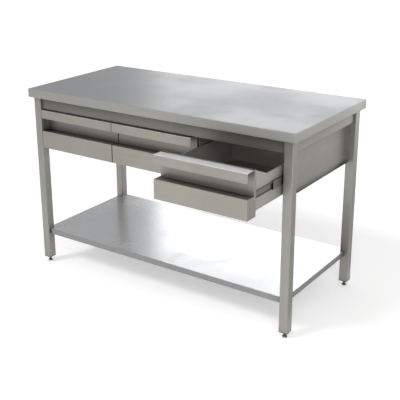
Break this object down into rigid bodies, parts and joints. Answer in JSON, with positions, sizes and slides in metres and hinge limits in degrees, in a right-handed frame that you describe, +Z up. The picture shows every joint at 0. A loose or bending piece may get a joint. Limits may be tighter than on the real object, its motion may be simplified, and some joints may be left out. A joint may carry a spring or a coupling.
{
  "type": "stainless steel work table with drawers",
  "caption": "Stainless steel kitchen work table on square legs with adjustable feet, a row of drawers on telescopic slides under the top, one pulled open, and a low solid shelf.",
  "frame": {"origin": "on the floor, under the centre of the worktop, which is the middle of the four foot pads", "axes": "+X to the right along the worktop, +Y to the back, +Z up; the drawers pull out along -Y"},
  "size_m": [1.4, 0.893, 0.88],
  "materials": {
    "stainless_worktop": "fine satin brushed stainless sheet, grain along the length",
    "stainless_sheet": "satin brushed stainless sheet",
    "stainless_tube": "satin brushed stainless square tube, grain along the tube",
    "stainless_shelf": "bright satin stainless sheet",
    "stainless_drawers": "satin brushed stainless sheet, grain along the front",
    "stainless_feet": "turned stainless steel",
    "stainless_fasteners": "plain stainless fasteners",
    "zinc_plated_steel": "bright zinc plated steel strip",
    "ball_cages": "polished steel balls in a plated strip",
    "sound_board": "raw particle board",
    "nylon_grey": "moulded nylon",
    "rubber_black": "matt black rubber"
  },
  "bodies": {
    "table": {"worktop_skin": "stainless_worktop", "worktop_board": "sound_board", "worktop_stiffeners": "zinc_plated_steel", "front_rail": "stainless_sheet", "rear_rail": "stainless_sheet", "left_rail": "stainless_sheet", "right_rail": "stainless_sheet", "leg_front_left": "stainless_tube", "leg_front_right": "stainless_tube", "leg_rear_left": "stainless_tube", "leg_rear_right": "stainless_tube", "leg_plugs": "nylon_grey", "foot_lock_nuts": "stainless_fasteners", "lower_shelf": "stainless_shelf", "shelf_stiffeners": "zinc_plated_steel", "shelf_brackets": "zinc_plated_steel", "frame_bolts": "stainless_fasteners", "left_side_panel": "stainless_sheet", "right_side_panel": "stainless_sheet", "rear_panel": "stainless_sheet", "left_divider": "stainless_sheet", "right_divider": "stainless_sheet", "panel_screws": "stainless_fasteners", "drawer_1_slide_fixed": "zinc_plated_steel", "drawer_2_slide_fixed": "zinc_plated_steel", "drawer_3_slide_fixed": "zinc_plated_steel"},
    "foot_front_left": {"foot_front_left": "stainless_feet"},
    "foot_front_right": {"foot_front_right": "stainless_feet"},
    "foot_rear_left": {"foot_rear_left": "stainless_feet"},
    "foot_rear_right": {"foot_rear_right": "stainless_feet"},
    "drawer_1": {"drawer_1_front": "stainless_drawers", "drawer_1_tray": "stainless_drawers", "drawer_1_walls": "stainless_drawers", "drawer_1_back": "stainless_drawers", "drawer_1_screws": "stainless_fasteners", "drawer_1_buffers": "rubber_black", "drawer_1_slide_inner": "zinc_plated_steel"},
    "drawer_1_middle": {"drawer_1_slide_middle": "zinc_plated_steel"},
    "drawer_1_cage_outer": {"drawer_1_balls_outer": "ball_cages"},
    "drawer_1_cage_inner": {"drawer_1_balls_inner": "ball_cages"},
    "drawer_2": {"drawer_2_front": "stainless_drawers", "drawer_2_tray": "stainless_drawers", "drawer_2_walls": "stainless_drawers", "drawer_2_back": "stainless_drawers", "drawer_2_screws": "stainless_fasteners", "drawer_2_buffers": "rubber_black", "drawer_2_slide_inner": "zinc_plated_steel"},
    "drawer_2_middle": {"drawer_2_slide_middle": "zinc_plated_steel"},
    "drawer_2_cage_outer": {"drawer_2_balls_outer": "ball_cages"},
    "drawer_2_cage_inner": {"drawer_2_balls_inner": "ball_cages"},
    "drawer_3": {"drawer_3_front": "stainless_drawers", "drawer_3_tray": "stainless_drawers", "drawer_3_walls": "stainless_drawers", "drawer_3_back": "stainless_drawers", "drawer_3_screws": "stainless_fasteners", "drawer_3_buffers": "rubber_black", "drawer_3_slide_inner": "zinc_plated_steel"},
    "drawer_3_middle": {"drawer_3_slide_middle": "zinc_plated_steel"},
    "drawer_3_cage_outer": {"drawer_3_balls_outer": "ball_cages"},
    "drawer_3_cage_inner": {"drawer_3_balls_inner": "ball_cages"}
  },
  "joints": [
    {"name": "foot_front_left_screw", "type": "slide", "parent": "table", "child": "foot_front_left", "axis": [0, 0, -1], "range_m": [0, 0.03]},
    {"name": "foot_front_right_screw", "type": "slide", "parent": "table", "child": "foot_front_right", "axis": [0, 0, -1], "range_m": [0, 0.03]},
    {"name": "foot_rear_left_screw", "type": "slide", "parent": "table", "child": "foot_rear_left", "axis": [0, 0, -1], "range_m": [0, 0.03]},
    {"name": "foot_rear_right_screw", "type": "slide", "parent": "table", "child": "foot_rear_right", "axis": [0, 0, -1], "range_m": [0, 0.03]},
    {"name": "drawer_1_pull", "type": "slide", "parent": "table", "child": "drawer_1", "axis": [0, -1, 0], "range_m": [0, 0.4]},
    {"name": "drawer_1_middle_run", "type": "slide", "parent": "table", "child": "drawer_1_middle", "axis": [0, -1, 0], "range_m": [0, 0.2]},
    {"name": "drawer_1_cage_outer_run", "type": "slide", "parent": "table", "child": "drawer_1_cage_outer", "axis": [0, -1, 0], "range_m": [0, 0.1]},
    {"name": "drawer_1_cage_inner_run", "type": "slide", "parent": "table", "child": "drawer_1_cage_inner", "axis": [0, -1, 0], "range_m": [0, 0.3]},
    {"name": "drawer_2_pull", "type": "slide", "parent": "table", "child": "drawer_2", "axis": [0, -1, 0], "range_m": [0, 0.4]},
    {"name": "drawer_2_middle_run", "type": "slide", "parent": "table", "child": "drawer_2_middle", "axis": [0, -1, 0], "range_m": [0, 0.2]},
    {"name": "drawer_2_cage_outer_run", "type": "slide", "parent": "table", "child": "drawer_2_cage_outer", "axis": [0, -1, 0], "range_m": [0, 0.1]},
    {"name": "drawer_2_cage_inner_run", "type": "slide", "parent": "table", "child": "drawer_2_cage_inner", "axis": [0, -1, 0], "range_m": [0, 0.3]},
    {"name": "drawer_3_pull", "type": "slide", "parent": "table", "child": "drawer_3", "axis": [0, -1, 0], "range_m": [-0.261, 0.139]},
    {"name": "drawer_3_middle_run", "type": "slide", "parent": "table", "child": "drawer_3_middle", "axis": [0, -1, 0], "range_m": [-0.1305, 0.0695]},
    {"name": "drawer_3_cage_outer_run", "type": "slide", "parent": "table", "child": "drawer_3_cage_outer", "axis": [0, -1, 0], "range_m": [-0.06525, 0.03475]},
    {"name": "drawer_3_cage_inner_run", "type": "slide", "parent": "table", "child": "drawer_3_cage_inner", "axis": [0, -1, 0], "range_m": [-0.19575, 0.10425]}
  ],
  "couplings": [
    {"joint": "drawer_1_middle_run", "follows": "drawer_1_pull", "ratio": 0.5},
    {"joint": "drawer_1_cage_outer_run", "follows": "drawer_1_pull", "ratio": 0.25},
    {"joint": "drawer_1_cage_inner_run", "follows": "drawer_1_pull", "ratio": 0.75},
    {"joint": "drawer_2_middle_run", "follows": "drawer_2_pull", "ratio": 0.5},
    {"joint": "drawer_2_cage_outer_run", "follows": "drawer_2_pull", "ratio": 0.25},
    {"joint": "drawer_2_cage_inner_run", "follows": "drawer_2_pull", "ratio": 0.75},
    {"joint": "drawer_3_middle_run", "follows": "drawer_3_pull", "ratio": 0.5},
    {"joint": "drawer_3_cage_outer_run", "follows": "drawer_3_pull", "ratio": 0.25},
    {"joint": "drawer_3_cage_inner_run", "follows": "drawer_3_pull", "ratio": 0.75}
  ]
}
